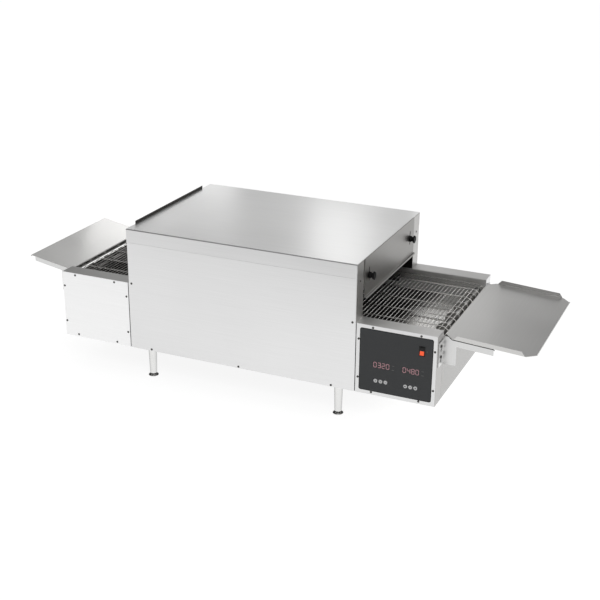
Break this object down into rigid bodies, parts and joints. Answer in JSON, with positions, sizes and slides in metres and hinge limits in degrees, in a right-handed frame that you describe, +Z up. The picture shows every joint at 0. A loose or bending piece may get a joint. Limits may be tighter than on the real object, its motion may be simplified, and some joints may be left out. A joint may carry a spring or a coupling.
{
  "type": "conveyor oven",
  "caption": "Counter-top conveyor oven: stainless tunnel body with a wire belt, adjustable baffles, control panel, infeed shelf, exit tray and tapered legs.",
  "frame": {"origin": "centre of the overall footprint on the counter, at the bottom of the feet", "axes": "+X along the belt from the infeed shelf to the exit tray, +Y from the control-panel side to the back, +Z up"},
  "size_m": [1.7263, 0.5727, 0.5135],
  "materials": {
    "panel_steel": "fine horizontal brush, bright",
    "roof_steel": "fine brush, satin",
    "end_steel": "fine brush, satin",
    "baffle_steel": "fine brush, a little heat-tinted",
    "rail_steel": "fine brush, satin",
    "tray_steel": "fine brush, satin",
    "bracket_steel": "fine brush, bright",
    "deck_steel": "mill finish, darkened",
    "liner_steel": "heat-darkened",
    "wool": "mineral wool",
    "heater_sheath": "oxidised sheath",
    "belt_wire": "drawn stainless wire",
    "sprocket_steel": "machined",
    "shaft_steel": "ground",
    "bearing_iron": "cast",
    "motor_paint": "satin paint",
    "overlay_charcoal": "fine satin film",
    "display_tint": "tinted window",
    "key_white": "printed white",
    "bezel_black": "moulded",
    "rocker_orange": "lit lens",
    "board_green": "solder mask",
    "relay_metal": "extruded",
    "gland_black": "moulded",
    "leg_steel": "polished tube",
    "foot_steel": "polished",
    "knob_black": "moulded phenolic",
    "screw_steel": "turned"
  },
  "bodies": {
    "oven": {"top_cover": "roof_steel", "front_panel": "panel_steel", "rear_panel": "panel_steel", "left_end_wall": "end_steel", "right_end_wall": "end_steel", "base_pan": "deck_steel", "infeed_front_panel": "panel_steel", "control_panel": "panel_steel", "housing_rear_panels": "panel_steel", "housing_end_panels": "end_steel", "front_rail": "rail_steel", "rear_rail": "rail_steel", "deck_pan": "deck_steel", "belt_skids": "liner_steel", "chamber_roof": "liner_steel", "chamber_side_liners": "liner_steel", "insulation": "wool", "upper_heaters": "heater_sheath", "lower_heaters": "heater_sheath", "thermocouple": "shaft_steel", "control_overlay": "overlay_charcoal", "display_windows": "display_tint", "rocker_bezel": "bezel_black", "control_board": "board_green", "power_relays": "relay_metal", "gearmotor": "motor_paint", "shaft_bearings": "bearing_iron", "cord_gland": "gland_black", "legs": "leg_steel", "hanger_screws": "screw_steel", "panel_screws": "screw_steel"},
    "key_1": {"key_1": "key_white"},
    "key_2": {"key_2": "key_white"},
    "key_3": {"key_3": "key_white"},
    "key_4": {"key_4": "key_white"},
    "key_5": {"key_5": "key_white"},
    "key_6": {"key_6": "key_white"},
    "rocker": {"power_rocker": "rocker_orange"},
    "exit_baffle": {"right_baffle": "baffle_steel"},
    "infeed_baffle": {"left_baffle": "baffle_steel"},
    "exit_front_knob": {"right_front_knob": "knob_black"},
    "exit_rear_knob": {"right_rear_knob": "knob_black"},
    "infeed_front_knob": {"left_front_knob": "knob_black"},
    "infeed_rear_knob": {"left_rear_knob": "knob_black"},
    "exit_tray": {"exit_tray": "tray_steel", "exit_brackets": "bracket_steel"},
    "infeed_shelf": {"infeed_shelf": "tray_steel", "infeed_brackets": "bracket_steel"},
    "foot_front_left": {"front_left_foot": "foot_steel"},
    "foot_front_right": {"front_right_foot": "foot_steel"},
    "foot_rear_left": {"rear_left_foot": "foot_steel"},
    "foot_rear_right": {"rear_right_foot": "foot_steel"},
    "belt_top": {"belt_top_run": "belt_wire"},
    "belt_bottom": {"belt_bottom_run": "belt_wire"},
    "drive": {"drive_shaft": "shaft_steel", "drive_sprockets": "sprocket_steel", "drive_wrap": "belt_wire"},
    "idler": {"idler_shaft": "shaft_steel", "idler_sprockets": "sprocket_steel", "idler_wrap": "belt_wire"}
  },
  "joints": [
    {"name": "belt_run", "type": "slide", "parent": "oven", "child": "belt_top", "axis": [1, 0, 0], "range_m": [0, 0.0127]},
    {"name": "belt_return", "type": "slide", "parent": "oven", "child": "belt_bottom", "axis": [-1, 0, 0], "range_m": [0, 0.0127]},
    {"name": "drive_turn", "type": "hinge", "parent": "oven", "child": "drive", "pos_m": [0.56045, 0, 0.28347], "axis": [0, 1, 0], "range_deg": [0, 30.05]},
    {"name": "idler_turn", "type": "hinge", "parent": "oven", "child": "idler", "pos_m": [-0.67145, 0, 0.28347], "axis": [0, 1, 0], "range_deg": [0, 30.05]},
    {"name": "exit_baffle_lift", "type": "slide", "parent": "oven", "child": "exit_baffle", "axis": [0, 0, 1], "range_m": [-0.022, 0.015]},
    {"name": "infeed_baffle_lift", "type": "slide", "parent": "oven", "child": "infeed_baffle", "axis": [0, 0, 1], "range_m": [-0.032, 0.005]},
    {"name": "exit_front_knob_turn", "type": "hinge", "parent": "oven", "child": "exit_front_knob", "pos_m": [0.3345, -0.185, 0.4415], "axis": [1, 0, 0], "range_deg": [0, 360]},
    {"name": "exit_rear_knob_turn", "type": "hinge", "parent": "oven", "child": "exit_rear_knob", "pos_m": [0.3345, 0.185, 0.4415], "axis": [1, 0, 0], "range_deg": [0, 360]},
    {"name": "infeed_front_knob_turn", "type": "hinge", "parent": "oven", "child": "infeed_front_knob", "pos_m": [-0.4455, -0.185, 0.4415], "axis": [-1, 0, 0], "range_deg": [0, 360]},
    {"name": "infeed_rear_knob_turn", "type": "hinge", "parent": "oven", "child": "infeed_rear_knob", "pos_m": [-0.4455, 0.185, 0.4415], "axis": [-1, 0, 0], "range_deg": [0, 360]},
    {"name": "rocker_tilt", "type": "hinge", "parent": "oven", "child": "rocker", "pos_m": [0.542, -0.2824, 0.271], "axis": [1, 0, 0], "range_deg": [0, 14]},
    {"name": "key_1_press", "type": "slide", "parent": "oven", "child": "key_1", "axis": [0, 1, 0], "range_m": [0, 0.0008], "stiffness_N_per_m": 600},
    {"name": "key_2_press", "type": "slide", "parent": "oven", "child": "key_2", "axis": [0, 1, 0], "range_m": [0, 0.0008], "stiffness_N_per_m": 600},
    {"name": "key_3_press", "type": "slide", "parent": "oven", "child": "key_3", "axis": [0, 1, 0], "range_m": [0, 0.0008], "stiffness_N_per_m": 600},
    {"name": "key_4_press", "type": "slide", "parent": "oven", "child": "key_4", "axis": [0, 1, 0], "range_m": [0, 0.0008], "stiffness_N_per_m": 600},
    {"name": "key_5_press", "type": "slide", "parent": "oven", "child": "key_5", "axis": [0, 1, 0], "range_m": [0, 0.0008], "stiffness_N_per_m": 600},
    {"name": "key_6_press", "type": "slide", "parent": "oven", "child": "key_6", "axis": [0, 1, 0], "range_m": [0, 0.0008], "stiffness_N_per_m": 600},
    {"name": "exit_tray_lift", "type": "slide", "parent": "oven", "child": "exit_tray", "axis": [0, 0, 1], "range_m": [0, 0.012]},
    {"name": "infeed_shelf_lift", "type": "slide", "parent": "oven", "child": "infeed_shelf", "axis": [0, 0, 1], "range_m": [0, 0.012]},
    {"name": "foot_front_left_screw", "type": "slide", "parent": "oven", "child": "foot_front_left", "axis": [0, 0, -1], "range_m": [0, 0.019]},
    {"name": "foot_front_right_screw", "type": "slide", "parent": "oven", "child": "foot_front_right", "axis": [0, 0, -1], "range_m": [0, 0.019]},
    {"name": "foot_rear_left_screw", "type": "slide", "parent": "oven", "child": "foot_rear_left", "axis": [0, 0, -1], "range_m": [0, 0.019]},
    {"name": "foot_rear_right_screw", "type": "slide", "parent": "oven", "child": "foot_rear_right", "axis": [0, 0, -1], "range_m": [0, 0.019]}
  ],
  "couplings": [
    {"joint": "belt_return", "follows": "belt_run", "ratio": 1},
    {"joint": "drive_turn", "follows": "belt_run", "rad_per_m": 41.228},
    {"joint": "idler_turn", "follows": "belt_run", "rad_per_m": 41.228}
  ]
}
